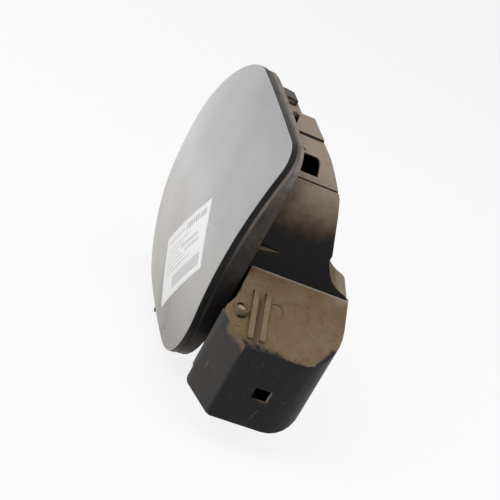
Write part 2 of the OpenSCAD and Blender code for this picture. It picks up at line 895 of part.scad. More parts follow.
module door_carrier() {
    color([0.12, 0.12, 0.12])
        in_frame()
            difference() {
                intersection() {
                    union() {
                        difference() {
                            face_prism(door_edge(carrier_inset), -5, flange_front - 1);
                            behind_face(carrier_back);
                        }
                        edge_band(carrier_inset, carrier_inset + rib_t, 0, carrier_back + rib_rise, flange_front - 1);
                        intersection() {
                            union() {
                                for (x = [-40, -8])
                                    block([x, 0, -64], [x + rib_t, 15, 64]);
                                for (z = [-14 - rib_t, 44])
                                    block([-80, 0, z], [74, 15, z + rib_t]);
                            }
                            difference() {
                                face_prism(door_edge(carrier_inset + 1), -5, flange_front - 1);
                                behind_face(carrier_back + rib_rise);
                            }
                        }
                        block([foot_rear - 2, 0, foot_mid - foot_h / 2 - 2],
                            [foot_edge + 1.5, foot_front, foot_mid + foot_h / 2 + 2]);
                        block([lock_x - 11, 0, tongue_low - 8], [lock_x + 11, pad_face, tongue_low + tongue_t + 8]);
                        block([hook_x - hook_half - 1, 0, hook_z - 10], [hook_x + hook_half + 1, hook_seat, hook_z + 10]);
                    }
                    behind_face(carrier_front);
                }
                for (spot = foot_screws)
                    depth_bar(spot[0], foot_mid + spot[1], 2, foot_front - 6, foot_front + 1);
                for (z = [-3, tongue_t + 3])
                    depth_bar(lock_x, tongue_low + z, 1.5, pad_face - 4, pad_face + 1);
            }
}

module hinge_arm() {
    color([0.1, 0.1, 0.1])
        in_frame()
            difference() {
                union() {
                    translate([pin_x, pin_y, 0]) {
                        translate([0, 0, arm_low])
                            cylinder(h = arm_h, r = hub_r);
                        rotate([90, 0, arm_start])
                            translate([0, 0, -arm_t / 2])
                                linear_extrude(arm_t)
                                    polygon([
                                        [0, arm_low + 0.5],
                                        [hub_r + 1.5, arm_low + 0.5],
                                        [arm_in - 9, ring_low + 0.5],
                                        [arm_in + arm_t - 1, ring_low + 0.5],
                                        [arm_in + arm_t - 1, ring_top - 0.5],
                                        [0, ring_top - 0.5]
                                    ]);
                        translate([0, 0, ring_low])
                            rotate([0, 0, arm_start])
                                rotate_extrude(angle = arm_end - arm_start, $fn = 120)
                                    translate([arm_in, 0])
                                        square([arm_t, ring_top - ring_low]);
                    }
                    block([foot_rear, foot_front, foot_mid - foot_h / 2],
                        [foot_edge, foot_front + foot_t, foot_mid + foot_h / 2]);
                    for (z = [ring_low + 0.5, ring_top - 3.5])
                        translate([0, 0, z])
                            linear_extrude(3)
                                polygon([[foot_rear + 3, foot_front + 3], [pin_x - 38.4, foot_front + 3],
                            [pin_x - 39, pin_y + 11.9]]);
                }
                // Space for the coils between the two hubs
                translate([pin_x, pin_y, spring_low - wire_d / 2 - 0.9])
                    cylinder(h = (spring_turns + 0.5) * spring_pitch + wire_d + 1.8, r = hub_r + 0.8);
                translate([pin_x, pin_y, arm_low - 1])
                    cylinder(h = arm_h + 2, r = bush_r);
                // Hollow on the outside of the swan neck
                translate([pin_x, pin_y, ring_low + 4])
                    rotate([0, 0, arm_start + 14])
                        rotate_extrude(angle = arm_end - arm_start - 34, $fn = 120)
                            translate([arm_in + arm_t - 2, 0])
                                square([4, ring_top - ring_low - 8]);
                for (spot = foot_screws)
                    depth_bar(spot[0], foot_mid + spot[1], 2, foot_front - 1, foot_front + foot_t + 1);
            }
}

module arm_bushes() {
    color([0.8, 0.78, 0.7])
        in_frame()
            translate([pin_x, pin_y, 0])
                difference() {
                    union() {
                        translate([0, 0, arm_top - bush_len])
                            cylinder(h = bush_len, r = bush_r);
                        translate([0, 0, arm_top])
                            cylinder(h = flange_step, r = hub_r - 0.8);
                        translate([0, 0, arm_low])
                            cylinder(h = bush_len, r = bush_r);
                        translate([0, 0, arm_low - flange_step])
                            cylinder(h = flange_step, r = hub_r - 0.8);
                    }
                    translate([0, 0, arm_low - 5])
                        cylinder(h = arm_h + 10, r = pin_r + run_gap);
                }
}

module arm_screws() {
    color([0.75, 0.75, 0.7])
        in_frame()
            for (spot = foot_screws)
                difference() {
                    union() {
                        depth_bar(spot[0], foot_mid + spot[1], 2, foot_front - 6, foot_front + foot_t);
                        depth_bar(spot[0], foot_mid + spot[1], 3.5, foot_front + foot_t, foot_front + foot_t + 2.5);
                    }
                    translate([spot[0], foot_front + foot_t + 1.2, foot_mid + spot[1]])
                        rotate([-90, 0, 0])
                            cylinder(h = 3, r = 1.7, $fn = 6);
                }
}

module catch_tongue() {
    half = tongue_w / 2;
    eye = lock_r + eye_gap;
    color([0.35, 0.35, 0.36])
        in_frame()
            difference() {
                union() {
                    translate([lock_x, 0, tongue_low])
                        linear_extrude(tongue_t)
                            polygon([[-half, pad_face], [half, pad_face], [half, tongue_end - 2],
                                [half - 2, tongue_end], [2 - half, tongue_end], [-half, tongue_end - 2]]);
                    block([lock_x - 9, pad_face, tongue_low - 6], [lock_x + 9, pad_face + base_t, tongue_low + tongue_t + 6]);
                }
                block([lock_x - eye, lock_y - eye, tongue_low - 1], [lock_x + eye, lock_y + eye, tongue_low + tongue_t + 1]);
                for (z = [-3, tongue_t + 3])
                    depth_bar(lock_x, tongue_low + z, 1.5, pad_face - 1, pad_face + base_t + 1);
            }
}

module catch_rivets() {
    color([0.7, 0.7, 0.7])
        in_frame()
            for (z = [-3, tongue_t + 3]) {
                depth_bar(lock_x, tongue_low + z, 1.5, pad_face - 4, pad_face + base_t);
                depth_bar(lock_x, tongue_low + z, 2.6, pad_face + base_t, pad_face + base_t + 1.4);
            }
}

module cap_hook() {
    prong = 2.4;
    reach = 20;
    grip = 4.5;
    color([0.13, 0.13, 0.13])
        in_frame() {
            block([hook_x - hook_half, hook_seat, hook_z - 9], [hook_x + hook_half, hook_seat + 2, hook_z + 9]);
            for (side = [-1, 1]) {
                block([hook_x + side * (hook_half - prong / 2) - prong / 2, hook_seat, hook_z - 9],
                    [hook_x + side * (hook_half - prong / 2) + prong / 2, reach, hook_z + 9]);
                block([hook_x + side * (hook_half - grip / 2) - grip / 2, reach - 2, hook_z - 9],
                    [hook_x + side * (hook_half - grip / 2) + grip / 2, reach, hook_z + 9]);
            }
        }
}

module paper_label() {
    color([0.93, 0.93, 0.92])
        in_frame()
            intersection() {
                translate([label_x, -6, label_z])
                    rotate([0, -label_turn, 0])
                        translate([-label_l / 2, 0, -label_h / 2])
                            cube([label_l, 30, label_h]);
                difference() {
                    behind_face(-label_t);
                    behind_face(0);
                }
            }
}

housing();
lip_seal();
neck_seal();
body_clips();
hinge_pin();
pin_clip();
hinge_spring();
door_bumpers();
actuator_case();
actuator_cover();
actuator_motor();
actuator_screws();
socket_blades();
lock_spindle();
lock_pin();
lock_wiper();
door_skin();
door_carrier();
hinge_arm();
arm_bushes();
arm_screws();
catch_tongue();
catch_rivets();
cap_hook();
paper_label();
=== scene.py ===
import math

import bpy
from mathutils import Matrix, Vector


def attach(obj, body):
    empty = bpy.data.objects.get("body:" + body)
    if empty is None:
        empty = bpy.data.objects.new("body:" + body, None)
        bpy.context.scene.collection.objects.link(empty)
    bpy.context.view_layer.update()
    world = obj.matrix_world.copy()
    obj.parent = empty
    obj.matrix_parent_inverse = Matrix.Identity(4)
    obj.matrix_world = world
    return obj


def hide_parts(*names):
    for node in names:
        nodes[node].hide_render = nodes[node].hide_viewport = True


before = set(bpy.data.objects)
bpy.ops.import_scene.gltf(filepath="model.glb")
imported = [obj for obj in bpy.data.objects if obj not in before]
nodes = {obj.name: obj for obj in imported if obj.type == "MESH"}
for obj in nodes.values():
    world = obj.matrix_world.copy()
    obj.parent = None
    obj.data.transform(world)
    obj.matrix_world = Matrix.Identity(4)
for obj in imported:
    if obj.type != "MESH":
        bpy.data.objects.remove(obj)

scene = bpy.context.scene
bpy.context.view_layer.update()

# the door, its seal and its label are drawn in millimetres from the crown of the painted face, which is here
home = Vector((-0.020, -0.066, 0.012))
mm = 0.001
inMillimetres = 1000


def deselectAll():
    if bpy.context.object and bpy.context.object.mode != "OBJECT":
        bpy.ops.object.mode_set(mode="OBJECT")
    bpy.ops.object.select_all(action="DESELECT")


def pick(piece):
    deselectAll()
    piece.select_set(True)
    bpy.context.view_layer.objects.active = piece


def editMode():
    bpy.ops.object.mode_set(mode="EDIT")


def objectMode():
    bpy.ops.object.mode_set(mode="OBJECT")


def editAll(piece):
    # opens the piece in edit mode with all of it selected
    pick(piece)
    editMode()
    bpy.ops.mesh.select_mode(type="VERT")
    bpy.ops.mesh.select_all(action="SELECT")


def selectOpenEdges():
    bpy.ops.mesh.select_all(action="DESELECT")
    bpy.ops.mesh.select_non_manifold()


def selectVerts(piece, test):
    # selects by place; called in edit mode, ends in edit mode
    objectMode()
    for v in piece.data.vertices:
        v.select = test(v.co)
    for e in piece.data.edges:
        e.select = all(piece.data.vertices[i].select for i in e.vertices)
    for f in piece.data.polygons:
        f.select = all(piece.data.vertices[i].select for i in f.vertices)
    editMode()


def named(name):
    piece = bpy.context.object
    piece.name = name
    piece.data.name = name
    return piece


def applyPlace(piece):
    pick(piece)
    bpy.ops.object.transform_apply(location=True, rotation=True, scale=True)


def modify(piece, kind, **settings):
    # adds a modifier and applies it
    pick(piece)
    mod = piece.modifiers.new(kind.lower(), kind)
    for key, value in settings.items():
        setattr(mod, key, value)
    bpy.ops.object.modifier_apply(modifier=mod.name)


def smooth(piece, angle):
    pick(piece)
    bpy.ops.object.shade_smooth_by_angle(angle=math.radians(angle))


def outward(piece):
    editAll(piece)
    bpy.ops.mesh.normals_make_consistent(inside=False)
    objectMode()


# small helpers for the node materials

class Wire:
    # one output socket of a node, which takes part in sums
    def __init__(self, work, socket):
        self.work = work
        self.socket = socket

    def also(self, output):
        # another output of the same node
        return Wire(self.work, self.socket.node.outputs[output])

    def math(self, operation, *others):
        return self.work.node("ShaderNodeMath", {"operation": operation}, [self, *others])

    def __add__(self, other):
        return self.math("ADD", other)

    def __radd__(self, other):
        return self.math("ADD", other)

    def __sub__(self, other):
        return self.math("SUBTRACT", other)

    def __rsub__(self, other):
        return self.work.node("ShaderNodeMath", {"operation": "SUBTRACT"}, [other, self])

    def __mul__(self, other):
        return self.math("MULTIPLY", other)

    def __rmul__(self, other):
        return self.math("MULTIPLY", other)

    def over(self, other):
        return self.math("MAXIMUM", other)

    def under(self, other):
        return self.math("MINIMUM", other)

    def power(self, other):
        return self.math("POWER", other)

    def soft(self, low, high):
        # 0 at low, 1 at high and smooth between them; low may be the larger
        return self.work.node("ShaderNodeMapRange", {"interpolation_type": "SMOOTHSTEP", "clamp": True},
                              {"Value": self, "From Min": low, "From Max": high})

    def band(self, low, high, edge=0.25):
        # 1 between low and high, with soft edges
        return self.soft(low - edge, low + edge) * self.soft(high + edge, high - edge)


class NodeWork:
    # makes and joins the nodes of one tree
    def __init__(self, tree):
        self.tree = tree
        tree.nodes.clear()

    def feed(self, socket, value):
        # joins a wire to the socket, or sets a number, place or colour on it
        if isinstance(value, Wire):
            self.tree.links.new(value.socket, socket)
        elif hasattr(value, "__len__") and len(value) < len(socket.default_value):
            socket.default_value = (*value, 1)
        else:
            socket.default_value = value

    def node(self, kind, settings=None, sockets=None, output=0):
        made = self.tree.nodes.new(kind)
        for key, value in (settings or {}).items():
            setattr(made, key, value)
        pairs = enumerate(sockets) if isinstance(sockets, list) else (sockets or {}).items()
        for key, value in pairs:
            self.feed(made.inputs[key], value)
        return Wire(self, made.outputs[output]) if len(made.outputs) else None

    def split(self, wire):
        first = self.node("ShaderNodeSeparateXYZ", {}, [wire])
        return first, first.also(1), first.also(2)

    def blend(self, share, a, b):
        # colours: a where share is 0, b where it is 1
        return self.node("ShaderNodeMix", {"data_type": "RGBA"}, {0: share, 6: a, 7: b}, output=2)


def newMaterial(name):
    material = bpy.data.materials.new(name)
    material.use_nodes = True
    return material


class Paint(NodeWork):
    # a finish, with the place of a point in millimetres of the part's own frame and the way it faces
    def __init__(self, name):
        self.material = newMaterial(name)
        super().__init__(self.material.node_tree)
        surface = self.node("ShaderNodeBsdfPrincipled")
        self.node("ShaderNodeOutputMaterial", {}, {"Surface": surface})
        self.shader = surface.socket.node
        self.place = self.node("ShaderNodeTexCoord", output="Object")
        self.x, self.y, self.z = [axis * inMillimetres for axis in self.split(self.place)]
        self.nx, self.ny, self.nz = self.split(self.place.also("Normal"))

    def noise(self, scale, detail, rough, stretch=None, seed=0.0):
        # the seed moves the pattern on along a slanting line
        at = self.place
        if stretch or seed:
            at = self.node("ShaderNodeMapping", {}, {"Vector": at, "Scale": stretch or (1, 1, 1),
                                                     "Location": (seed, seed * 0.7, seed * 1.3)})
        return self.node("ShaderNodeTexNoise", {}, {"Vector": at, "Scale": scale, "Detail": detail,
                                                    "Roughness": rough})

    def patch(self, steps):
        # the product of soft steps, each an axis and the two values between which it rises
        first, *rest = [getattr(self, axis).soft(low, high) for axis, low, high in steps]
        return math.prod(rest, start=first)

    def bump(self, height, strength, distance=0.001):
        return self.node("ShaderNodeBump", {}, {"Height": height, "Strength": strength, "Distance": distance})

    def finish(self, **sockets):
        for key, value in sockets.items():
            self.feed(self.shader.inputs[key.replace("_", " ")], value)
        return self.material


def squareFrom(a, b, middle):
    # the square of the distance from a point, along two axes
    return (a - middle[0]).power(2) + (b - middle[1]).power(2)


def dress(piece, material):
    piece.data.materials.clear()
    piece.data.materials.append(material)


# colours as light values

tones = {
    # the door
    "paint": (0.388, 0.382, 0.376),
    "paintDust": (0.205, 0.182, 0.163),
    "smudge": (0.11, 0.105, 0.10),
    "nick": (0.10, 0.10, 0.105),
    # the rim: a black that is painted shade with road film on it, a darkened paint that is painted shade, and
    # a painted highlight line
    "rimShade": (0.0065, 0.0062, 0.0060),
    "grimeFilm": (0.045, 0.040, 0.034),
    "rolledPaintShade": (0.250, 0.252, 0.262),
    "foldHighlight": (0.78, 0.78, 0.78),
    # the housing
    "black": (0.0110, 0.0105, 0.0105),
    # painted shade on the bowl's wall
    "bowlShadeBlack": (0.0045, 0.0040, 0.0042),
    "greyed": (0.026, 0.025, 0.024),
    "bloom": (0.086, 0.080, 0.074),
    "film": (0.078, 0.064, 0.052),
    # pale road film, partly a painted highlight
    "paleFilmAndHighlight": (0.270, 0.236, 0.214),
    "scratch": (0.16, 0.155, 0.15),
    # a painted highlight on an edge
    "edgeHighlight": (0.36, 0.34, 0.32),
    "splash": (0.30, 0.28, 0.25),
    # a painted highlight on the slot's edge
    "slotEdgeHighlight": (0.45, 0.44, 0.42),
    # dust
    "dust": (0.184, 0.120, 0.062),
    # pale dust, also used as a painted highlight on the rib tops
    "paleDustAndHighlight": (0.250, 0.188, 0.130),
    "dustHigh": (0.345, 0.278, 0.220),
    # dark dust, also used as painted shade between the ribs and round the pin's end
    "darkDustAndShade": (0.058, 0.043, 0.030),
    "dustGrain": (0.44, 0.35, 0.23),
    "metalDust": (0.42, 0.37, 0.29),
    "pinDust": (0.40, 0.31, 0.21),
    # the smaller pieces, each with what it wears or stains to
    "case": (0.026, 0.026, 0.028),
    "caseWorn": (0.05, 0.05, 0.05),
    "arm": (0.016, 0.016, 0.016),
    "armWorn": (0.035, 0.034, 0.033),
    "nylon": (0.62, 0.58, 0.48),
    "nylonWorn": (0.50, 0.46, 0.36),
    "rubber": (0.009, 0.009, 0.009),
    "rubberBloom": (0.045, 0.043, 0.040),
    "zinc": (0.55, 0.54, 0.50),
    "zincStain": (0.38, 0.37, 0.34),
    "spring": (0.36, 0.36, 0.35),
    "springStain": (0.22, 0.21, 0.20),
    "rust": (0.16, 0.075, 0.035),
    "clip": (0.016, 0.0155, 0.015),
    "clipWorn": (0.034, 0.032, 0.030),
    "clipRubbed": (0.15, 0.14, 0.13),
    "brass": (0.62, 0.42, 0.15),
    "brassStain": (0.35, 0.24, 0.12),
    # the label
    "paper": (0.96, 0.96, 0.95),
    "ink": (0.25, 0.26, 0.27),
    "paperDirt": (0.55, 0.52, 0.48),
}


# where the painted face is dirty or damaged, in millimetres
paintWear = {
    "filmHeights": (16, -62),
    "filmAcross": (-50, 30),
    "smudge": (("z", -30, -60), ("x", -10, 25)),
    "nickAt": (37.5, 22.0),
    "nickSquares": (7.0, 2.0),       # squares of its outer and inner radius
}


def doorPaint():
    p = Paint("doorPaint")
    w = paintWear
    fine = p.noise(900, 2, 0.6)
    cloud = p.noise(22, 4, 0.55)
    specks = p.noise(420, 3, 0.7, seed=3.1).soft(0.66, 0.74)
    # road film that gathers towards the lower edge and the hinge
    low = p.z.soft(*w["filmHeights"]) * (0.60 + 0.40 * p.x.soft(*w["filmAcross"]))
    film = (cloud.soft(0.35, 0.75) * 0.25 + low * 0.75).under(1.0)
    smudge = p.noise(60, 5, 0.65, seed=8.4).soft(0.58, 0.70) * p.patch(w["smudge"])
    nick = squareFrom(p.x, p.z, w["nickAt"]).soft(*w["nickSquares"])
    nick = nick * p.noise(500, 2, 0.6, seed=1.7).soft(0.35, 0.6)
    colour = p.blend(film * 0.9, tones["paint"], tones["paintDust"])
    colour = p.blend(smudge * 0.7, colour, tones["smudge"])
    colour = p.blend(nick * 0.5, colour, tones["nick"])
    colour = p.blend(specks * low * 0.4, colour, tones["darkDustAndShade"])
    scratch = p.noise(70, 2, 0.5, stretch=(1, 1, 14), seed=5.5).soft(0.70, 0.74)
    rough = 0.30 + film * 0.30 + smudge * 0.2 + scratch * 0.12 + fine * 0.04
    return p.finish(Base_Color=colour, Roughness=rough, Metallic=0.0, Coat_Weight=1.0 - film * 0.75,
                    Coat_Roughness=0.025, Normal=p.bump(fine * 0.3 + scratch * -0.2, 0.03))


# where painted shade and a painted highlight lie on the rim that turns in and on the hem: by height, and by
# how far a point still faces out of the door
rimShadeAndHighlight = {
    "upperHeights": (-15, 55),
    "rolledShade": (-0.30, -0.88),
    "foldHighlight": (("ny", -0.92, -0.88), ("ny", -0.62, -0.70)),
}


def rimShadeAndGrime():
    # painted shade: the paint darkens as it turns in, and lower down the rim is painted black as shade, with
    # road film on it; a painted highlight runs along one line of the bend
    p = Paint("rimShadeAndGrime")
    w = rimShadeAndHighlight
    fine = p.noise(700, 3, 0.6)
    cloud = p.noise(80, 5, 0.65, seed=4.0)
    upper = p.z.soft(*w["upperHeights"])
    rolledShade = p.ny.soft(*w["rolledShade"]) * (0.25 + 0.75 * upper)
    foldHighlightMask = p.patch(w["foldHighlight"]) * cloud.soft(0.30, 0.45) * (1 - upper * 0.5)
    film = cloud.soft(0.48, 0.72)
    colour = p.blend(film * 0.35, tones["rimShade"], tones["grimeFilm"])
    colour = p.blend(rolledShade, colour, tones["rolledPaintShade"])
    colour = p.blend(foldHighlightMask * 0.8, colour, tones["foldHighlight"])
    return p.finish(Base_Color=colour, Roughness=0.40 + film * 0.25 - rolledShade * 0.10,
                    Specular_IOR_Level=0.15, Normal=p.bump(fine, 0.12, 0.0004))


# where the dirt, the painted shade and the painted highlights on the housing lie or stop, in millimetres; a
# list of steps is one patch
dirtAndLightMap = {
    "pocket": (78, 82),              # across, where the bowl ends and the hinge pocket starts
    "roofAt": (88.4, -0.4),          # a point of the pocket's roof, and how far it falls per millimetre
    "roofFall": 0.70,
    "roofDustEnds": 106.4,
    "roofRearEdge": (4, 18),         # from here back the dust stops earlier
    "noseTop": (("ny", -0.3, -0.5), ("y", -50.5, -48)),
    "noseDrop": (-7.0, -2.0),        # how far below the roof it hangs over the nose
    "insideAcross": (104.5, 103),    # no dust inside the pocket, in from its end and down from its roof
    "insideDown": (-12, -16),
    "bowlDust": (42, 76),            # heights between which it thickens on the bowl's wall
    "bowlWall": (-47, -43),          # the wall starts behind the flange, and is dustiest further back
    "bowlWallBack": (-42, -30),
    "paleHeights": (48, 90),         # heights between which it turns pale
    "paleBack": (("y", 10, 18), ("x", 70, 62)),
    "paleRoof": (-15, 15),
    "ribs": (-38.4, -26.2),          # the outer sides of the two ribs, and heights over the roof
    "ribSides": (-0.6, 0.6),
    "ribTops": (1.5, 2.1),
    # where painted shade lies between the two ribs
    "grooveShade": (-34.0, -31.0),
    "boss": (88.4, -43.9),
    "bossRound": 6.1,
    "bossSide": (1.0, 3.2),
    # a ring of painted shade round the middle of the pin's end
    "pinShadeRing": ((1.7, 2.3), (3.4, 3.0)),   # round the middle of the pin's end: inner and outer edge
    "flange": (-44.8, -46.0),
    "flangeFilm": (-20, 62),         # heights, as for the film on the seal
    "sealFilm": (0, 75),
    "filmPale": (56, 92),
    "bloomAcross": (80, 88),
    # where the bowl's black is deepened as painted shade
    "bowl": (("x", 78, 73), ("z", 66, 46)),
    "slit": (("x", 20.9, 21.1), ("x", 22.5, 22.2), ("z", 84, 86), ("y", -44.5, -43.5)),
    # a painted highlight where the pocket's roof starts
    "ridge": (("x", 63.6, 64.0), ("x", 65.0, 64.6), ("z", 10, 13), ("z", 20, 18), ("y", -44, -40)),
    "pocketEnd": (("nx", 0.55, 0.75), ("x", 90, 96)),
    "run": (("y", -13.2, -12.2), ("y", -9.8, -10.8), ("z", -62, -56), ("z", -44, -46)),
    "lowFilm": (-58, -72),
    # a painted highlight on the slot's edge
    "slotEdge": (("ny", -0.6, -0.9), ("x", 102.0, 103.0), ("y", -9.5, -8.5), ("z", -46.0, -45.0)),
}


def blackMoulding():
    p = Paint("blackMoulding")
    d = dirtAndLightMap
    grain = p.noise(1400, 2, 0.6)
    cloud = p.noise(30, 5, 0.6)
    patch = p.noise(85, 5, 0.65, seed=2.3)
    ragged = p.noise(190, 5, 0.75, seed=3.6)
    crumbs = p.noise(620, 4, 0.7, seed=6.2)
    streak = p.noise(60, 3, 0.6, stretch=(1, 1, 0.22), seed=4.0)
    onPocket = p.x.soft(*d["pocket"])
    flat = p.nz.soft(0.4, 0.6)
    overRoof = p.z - d["roofAt"][1] + (p.x - d["roofAt"][0]) * d["roofFall"]

    # dust lies where the surface looks up, and hangs on the upper bowl
    upward = (p.nz + (cloud - 0.5) * 0.30 + (ragged - 0.5) * 0.25).soft(0.22, 0.46)
    reach = p.z + (cloud - 0.5) * 30 + (patch - 0.5) * 14
    hanging = reach.soft(*d["bowlDust"]) * (p.nz + 0.4).soft(-0.3, 0.3) * p.y.soft(*d["bowlWall"])
    hanging = hanging * (0.66 + 0.34 * p.y.soft(*d["bowlWallBack"]))
    # on the pocket's roof it stops short of the far edge, and it hangs over the nose's top edge
    farEdge = p.x - p.y * 0.105 + p.y.soft(*d["roofRearEdge"]) * 15 + (patch - 0.5) * 8 + (ragged - 0.5) * 7
    lying = upward * farEdge.soft(d["roofDustEnds"] + 1.6, d["roofDustEnds"] - 1.6)
    noseTop = (overRoof + (patch - 0.5) * 8 + (ragged - 0.5) * 9).soft(*d["noseDrop"])
    noseTop = noseTop * p.patch(d["noseTop"]) * onPocket
    boss = squareFrom(p.x, p.y, d["boss"]).power(0.5)
    bossSide = boss.soft(d["bossRound"] + 0.3, d["bossRound"] - 0.3) * overRoof.soft(*d["bossSide"]) * 0.7
    between = p.y.band(*d["ribs"], 0.3) * onPocket
    ribSide = between * overRoof.soft(*d["ribSides"]) * (1 - flat) * 0.5
    share = lying.over(hanging).over(noseTop * 0.9) * (0.90 + (crumbs - 0.5) * 0.35).under(1.0)
    thin = (ragged * 0.6 + crumbs * 0.4).soft(0.36, 0.20) * 0.65
    share = (share * (1 - thin)).over(bossSide).over(ribSide)

    # a film of road dirt on the flange, heavier and paler towards the top, where its pale tone is partly a
    # painted highlight
    flange = p.y.soft(*d["flange"]) * (1 - onPocket)
    filmNoise = (patch * 0.5 + ragged * 0.5).soft(0.38, 0.60)
    film = flange * (0.45 + 0.55 * filmNoise) * (0.06 + 0.94 * p.z.soft(*d["flangeFilm"]))
    # less dust under that film, and none inside the pocket
    inside = onPocket * p.x.soft(*d["insideAcross"]) * overRoof.soft(*d["insideDown"])
    share = share * (1 - flange * 0.85) * (1 - inside)

    # the plastic itself: deeper black on the bowl as painted shade, greyed where worn, a bloom on the
    # pocket's outer faces
    worn = p.noise(150, 5, 0.7, seed=9.1).soft(0.52, 0.8)
    bloom = (p.ny * -1.0).soft(0.25, 0.75) * p.x.soft(*d["bloomAcross"]) * (0.55 + cloud * 0.5)
    onShadedBowl = p.patch(d["bowl"])
    colour = p.blend(onShadedBowl, tones["black"], tones["bowlShadeBlack"])
    colour = p.blend(worn * (0.7 - onShadedBowl * 0.5), colour, tones["greyed"])
    colour = p.blend(bloom * 0.75, colour, tones["bloom"])
    # the road film turns paler high up, partly as a painted highlight
    filmTone = p.blend(p.z.soft(*d["filmPale"]), tones["film"], tones["paleFilmAndHighlight"])
    colour = p.blend(film * 0.85, colour, filmTone)
    speck = p.noise(340, 4, 0.8, seed=7.7).soft(0.70, 0.75)
    colour = p.blend(speck * 0.40, colour, tones["dust"])

    # the dust's own colours, and paler dust on the rib tops as a painted highlight
    pale = (streak * 0.5 + patch * 0.3 + cloud * 0.2).soft(0.42, 0.66) * 0.7
    pale = pale + p.y.soft(*d["paleRoof"]) * onPocket * 0.3
    high = p.z.soft(*d["paleHeights"]).over(p.patch(d["paleBack"]))
    # painted highlight: the rib tops get paler dust
    ribTopHighlight = between * overRoof.soft(*d["ribTops"]) * flat
    dustTone = p.blend(pale * 0.8, tones["dust"], tones["paleDustAndHighlight"])
    dustTone = p.blend(high * 0.9, dustTone, tones["dustHigh"])
    dustTone = p.blend(ragged.soft(0.46, 0.30) * (0.55 - high * 0.30), dustTone, tones["darkDustAndShade"])
    dustTone = p.blend(ribTopHighlight * 0.6, dustTone, tones["paleDustAndHighlight"])
    grains = p.noise(760, 2, 0.6, seed=16.0).soft(0.70, 0.74)
    dustTone = p.blend(grains * 0.55, dustTone, tones["dustGrain"])
    colour = p.blend(share * 0.96, colour, dustTone)

    # painted shade between the two ribs, and the slit of the snap tongue kept black
    grooveShade = onPocket * p.y.band(*d["grooveShade"], 0.4) * flat
    colour = p.blend(grooveShade * 0.65, colour, tones["darkDustAndShade"])
    colour = p.blend(p.patch(d["slit"]) * 0.9, colour, tones["black"])
    scratch = p.noise(45, 2, 0.5, stretch=(1, 9, 1), seed=11.0).soft(0.67, 0.71) * (1 - share)
    colour = p.blend(scratch * (0.10 + bloom * 0.35) * (1 - onShadedBowl), colour, tones["scratch"])
    # a painted highlight along the edge where the pocket's roof starts
    ridge = p.patch(d["ridge"]) * flat
    colour = p.blend(ridge * (0.30 + ragged * 0.45), colour, tones["edgeHighlight"])
    # dried splashes on the pocket's end, a faint run below its slot, road film, and a painted highlight on
    # the slot's edge
    onEnd = p.patch(d["pocketEnd"])
    splash = p.noise(800, 2, 0.6, seed=13.0).soft(0.70, 0.75) * cloud.soft(0.42, 0.60)
    run = p.patch(d["run"]) * p.noise(760, 3, 0.7, seed=14.0).soft(0.58, 0.66)
    colour = p.blend((splash * 0.75).over(run * 0.55) * onEnd, colour, tones["splash"])
    lowFilm = p.z.soft(*d["lowFilm"]) * patch.soft(0.42, 0.66) * onEnd
    colour = p.blend(lowFilm * 0.55, colour, tones["darkDustAndShade"])
    colour = p.blend(p.patch(d["slotEdge"]) * 0.8, colour, tones["slotEdgeHighlight"])

    rough = 0.45 + share * 0.47 + film * 0.20 + worn * 0.08 + bloom * 0.08
    height = grain * 0.4 + share * (crumbs * 1.4 + ragged * 0.8) + scratch * -0.5
    return p.finish(Base_Color=colour, Roughness=rough, Specular_IOR_Level=0.15,
                    Normal=p.bump(height, 0.35, 0.0007))


def plainPlastic(name, tone, worn, seed):
    p = Paint(name)
    grain = p.noise(1600, 2, 0.6)
    cloud = p.noise(70, 4, 0.6, seed=seed)
    dusty = (p.nz + (cloud - 0.5) * 0.5).soft(0.35, 0.75) * 0.75
    mark = p.noise(260, 4, 0.7, seed=seed + 2).soft(0.64, 0.72)
    colour = p.blend(cloud * 0.6, tone, worn)
    colour = p.blend(mark * 0.3, colour, tones["darkDustAndShade"])
    colour = p.blend(dusty, colour, tones["dust"])
    return p.finish(Base_Color=colour, Roughness=0.42 + cloud * 0.12 + dusty * 0.35,
                    Specular_IOR_Level=0.25, Normal=p.bump(grain, 0.18, 0.0005))


def softRubber(name, filmed=0.0):
    # filmed is the share of the flange's road film that the upper part carries; its pale tone there is partly
    # a painted highlight
    p = Paint(name)
    grain = p.noise(1100, 3, 0.6)
    cloud = p.noise(60, 4, 0.6, seed=1.0)
    bloom = cloud.soft(0.45, 0.75)
    dusty = (p.nz + (cloud - 0.5) * 0.6).soft(0.3, 0.8) * 0.6
    colour = p.blend(bloom * 0.5, tones["rubber"], tones["rubberBloom"])
    film = p.z.soft(*dirtAndLightMap["sealFilm"]) * (0.55 + cloud * 0.5) * filmed
    colour = p.blend(film * 0.8, colour, tones["paleFilmAndHighlight"])
    colour = p.blend(dusty, colour, tones["darkDustAndShade"])
    return p.finish(Base_Color=colour, Roughness=0.52 + bloom * 0.2 + dusty * 0.2,
                    Specular_IOR_Level=0.2, Normal=p.bump(grain, 0.2, 0.0004))


